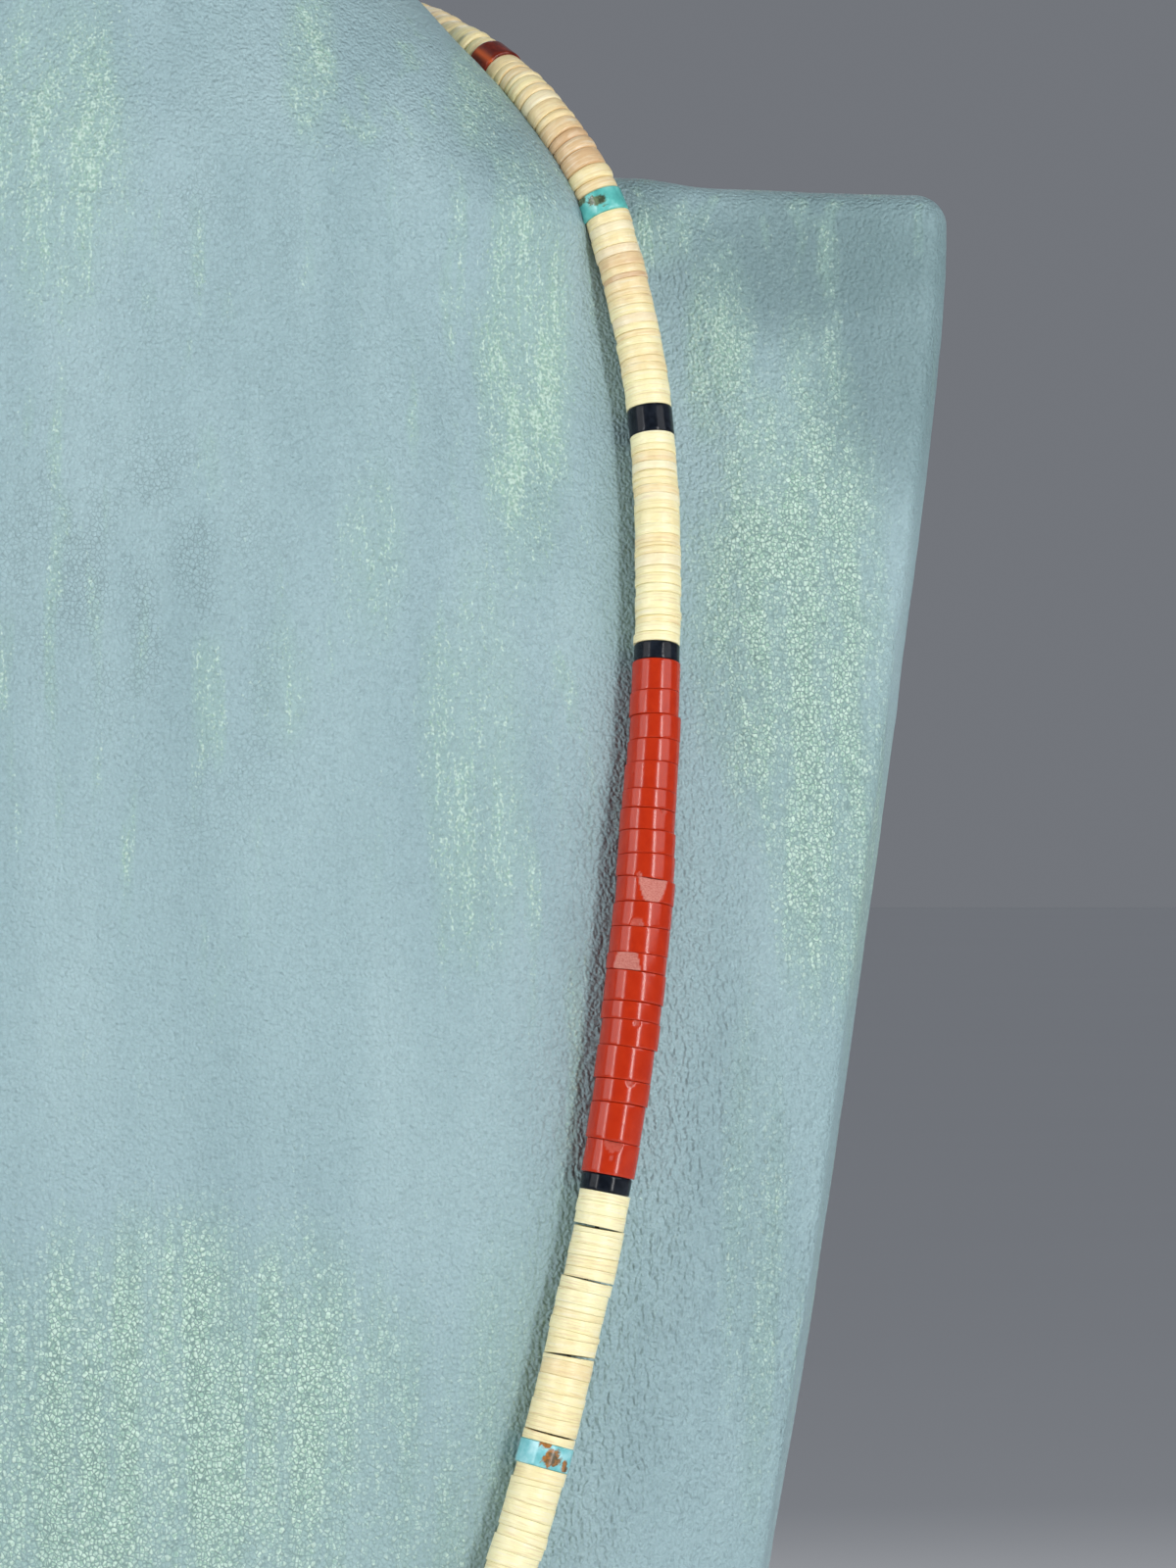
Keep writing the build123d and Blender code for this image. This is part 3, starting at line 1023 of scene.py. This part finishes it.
def shape_bust(mesh):
    """Small hollows and rises of the covering, and where its paint, crackle and painted shade lie.
    """
    normals = vertex_values(mesh, "normal")
    points = vertex_values(mesh, "co")
    layers = {name: np.zeros(len(points)) for name in LAYERS}
    lift = np.zeros(len(points))
    for index, (x, y, z) in enumerate(points / MM):
        wave = noise.noise(Vector((x / 9, y / 9, z / 14)))
        ripple = noise.noise(Vector((x / 2.2 + 7, y / 2.2, z / 2.6)))
        lift[index] = 0.14 * wave + 0.05 * ripple
        front = clamp(-y / 12)
        bands = streak_noise(x, y, z, 2.6, 34.0)
        wide = streak_noise(x, y, z, 26.0, 60.0, 3.0)
        brushed = 0.6 + 0.4 * clamp((bands - 0.34) / 0.3)
        stray = 0.5 * clamp((bands - 0.5) / 0.36) * clamp((wide - 0.4) / 0.3)
        layers["paint"][index] = max(front * patch_strength(PAINT, abs(x), z) * brushed, stray)
        layers["coarse"][index] = front * patch_strength(COARSE, abs(x), z)
        broken = clamp((streak_noise(x, y, z, 4.0, 9.0, 5.0) - 0.3) / 0.4)
        layers["crackle"][index] = front * patch_strength(CRACKLE, abs(x), z) * broken
        # Painted shade layer: the darker patches on the shoulder's top and the slope beside the
        # neck
        layers["shade"][index] = front * patch_strength(PAINTED_SHADE, abs(x), z)
        layers["wrinkle"][index] = front * patch_strength(WRINKLES, abs(x), z)
        layers["tone"][index] = 0.5 + 0.6 * (streak_noise(x, y, z, 9.0, 48.0, 11.0) - 0.5)
        lift[index] += front * RIDGE_RISE * ridge_share(abs(x), z)
    lift *= smooth_step(points[:, 2] / MM, 1.0, 5.0)
    points = points + normals * (lift * MM)[:, None]
    inward = np.clip((104 - np.abs(points[:, 0] / MM)) / 32, 0, 1)
    points[:, 2] += SHOULDER_RISE * MM * inward * smooth_step(points[:, 2] / MM, 252, 263)
    points[:, 2] = np.maximum(points[:, 2], 0.0)
    mesh.vertices.foreach_set("co", points.ravel())
    for name, values in layers.items():
        layer = mesh.attributes.new(name, "FLOAT", "POINT")
        layer.data.foreach_set("value", values.astype(np.float32))
    mesh.update()


# Build the pieces

strand = Strand([(-x, y, z) for x, y, z in reversed(STRAND_ROUTE)] + STRAND_ROUTE)
rng = np.random.default_rng(SEED)
shell = shell_material()
red_stone = red_material()
dark_red = dark_red_material()
turquoise = {
    "turquoise_upper": turquoise_material(
        "green_turquoise",
        [(0.3, (0.07, 0.36, 0.34)), (0.5, (0.12, 0.52, 0.48)), (0.7, (0.26, 0.66, 0.62))],
        [(0.16, 0.22, 0.12), (0.05, 0.07, 0.04)],
    ),
    "turquoise_lower": turquoise_material(
        "blue_turquoise",
        [(0.3, (0.12, 0.44, 0.47)), (0.5, (0.22, 0.59, 0.63)), (0.7, (0.44, 0.78, 0.82))],
        [(0.42, 0.17, 0.04), (0.09, 0.07, 0.03)],
    ),
}
jet = jet_material()
leatherette = leatherette_material()
thread_fibre = plain_material("thread_fibre", (0.05, 0.04, 0.03), (0.10, 0.08, 0.06), 900, 0.7)
silver = plain_material("silver", (0.62, 0.61, 0.58), (0.75, 0.74, 0.71), 700, 0.28, 1.0)

beads = BeadMesh()
edge_distance = FRONT_HALF + RUN_GAP / 2
for direction in (1, -1):
    kind = HEISHI_KINDS["heishi_front"]
    heishi_run(beads, strand, 0.0, direction * edge_distance, FRONT_DIAMETERS, kind, rng)
beads.build("heishi_front_beads", shell, ["heishi_front"])

for side, direction in (("right", 1), ("left", -1)):
    place = edge_distance
    for run in SIDE_RUNS:
        start, end = direction * place, direction * (place + run.length + RUN_GAP)
        place += run.length + RUN_GAP
        node = f"{run.name}_{side}"
        beads = BeadMesh()
        if run.name.startswith("heishi"):
            kind = HEISHI_KINDS[run.name]
            diameters = (run.low_diameter, run.high_diameter)
            wedges = RIGHT_WEDGES if node == "heishi_lower_right" else ()
            heishi_run(beads, strand, start, end, diameters, kind, rng, wedges)
            beads.build(f"{node}_beads", shell, [node])
        elif run.name == "red_beads":
            flats = RIGHT_FLATS if side == "right" else LEFT_FLATS
            chips = RIGHT_CHIPS if side == "right" else LEFT_CHIPS
            red_string(beads, strand, start, end, rng, flats, chips)
            beads.build(f"{node}_stones", red_stone, [node])
        else:
            low, high = min(start, end), max(start, end)
            marks = MARKS.get(run.name, [])
            add_accent(beads, strand, low, high, run.low_diameter / 2, rng, marks, direction)
            if run.name.startswith("jet"):
                beads.build(f"{node}_stone", jet, [node])
            elif run.name.startswith("turquoise"):
                beads.build(f"{node}_stone", turquoise[run.name], [node])
            else:
                beads.build(f"{node}_stone", dark_red, [node])
    beads = BeadMesh()
    last = strand.half - CLASP_POCKET - RUN_GAP
    kind = HEISHI_KINDS["heishi_nape"]
    heishi_run(beads, strand, direction * place, direction * last, NAPE_DIAMETERS, kind, rng)
    beads.build(f"heishi_nape_{side}_beads", shell, [f"heishi_nape_{side}"])

build_bust(nodes["neck_bust"], leatherette)
for name, material in (("thread", thread_fibre), ("clasp", silver)):
    nodes[name].data.materials.clear()
    nodes[name].data.materials.append(material)

# Stage, lights and camera


FLOOR_REACH = 30.0
FLOOR_COLOUR = (0.94, 0.95, 0.96)
LIGHT_AIM = Vector((0.03, 0.0, 0.20))


class Light(NamedTuple):
    """An area light turned to LIGHT_AIM: its place, width and height in metres, and watts."""

    name: str
    place: tuple
    size: tuple
    watts: float


LIGHTS = [
    Light("left_box", (-1.07, -0.69, 0.75), (0.9, 0.9), 6.1),
    Light("left_strip", (-0.81, -1.00, 0.40), (0.10, 0.9), 3.4),
    Light("right_strip", (0.74, -1.09, 0.40), (0.14, 0.9), 7.6),
    Light("right_box", (1.13, -0.69, 0.75), (0.9, 0.9), 5.9),
    Light("back_box", (-0.35, 1.35, 0.95), (0.9, 0.9), 5.0),
]


def stage_material(colour):
    material, tree, shader = new_material("stage")
    place = put(tree, "ShaderNodeTexCoord").outputs["Object"]
    texture = noise_texture(tree, place, 3.0, 3.0)
    dark = tuple(0.97 * c for c in colour)
    tree.links.new(mix(tree, texture, dark, colour), shader.inputs["Base Color"])
    shader.inputs["Roughness"].default_value = 0.8
    return material


def build_stage():
    """One wide pale floor, nearly as bright far away as the sky above it."""
    corners = [
        (across * FLOOR_REACH, back * FLOOR_REACH, 0.0)
        for across, back in ((-1, -1), (1, -1), (1, 1), (-1, 1))
    ]
    mesh = bpy.data.meshes.new("floor")
    mesh.from_pydata(corners, [], [(0, 1, 2, 3)])
    mesh.materials.append(stage_material(FLOOR_COLOUR))
    floor = bpy.data.objects.new("floor", mesh)
    bpy.context.scene.collection.objects.link(floor)


def add_light(light):
    data = bpy.data.lights.new(light.name, "AREA")
    data.shape = "RECTANGLE"
    data.size, data.size_y = light.size
    data.energy = light.watts
    lamp = bpy.data.objects.new(light.name, data)
    lamp.location = light.place
    towards = LIGHT_AIM - Vector(light.place)
    lamp.rotation_euler = towards.to_track_quat("-Z", "Y").to_euler()
    bpy.context.scene.collection.objects.link(lamp)


build_stage()
for light in LIGHTS:
    add_light(light)
bpy.context.scene.view_settings.view_transform = "Standard"
world = bpy.data.worlds.new("studio")
bpy.context.scene.world = world
world.use_nodes = True
sky = world.node_tree.nodes["Background"]
sky.inputs["Color"].default_value = (0.85, 0.90, 1.0, 1)
sky.inputs["Strength"].default_value = 0.2

camera_data = bpy.data.cameras.new("camera")
camera_data.sensor_fit = "HORIZONTAL"
camera_data.sensor_width = 36.0
camera_data.lens = 371.8
camera_data.clip_end = 20
camera = bpy.data.objects.new("camera", camera_data)
camera.location = (0.0652, -1.4, 0.203)
camera.rotation_euler = (math.radians(90), 0, 0)
bpy.context.scene.collection.objects.link(camera)
bpy.context.scene.camera = camera
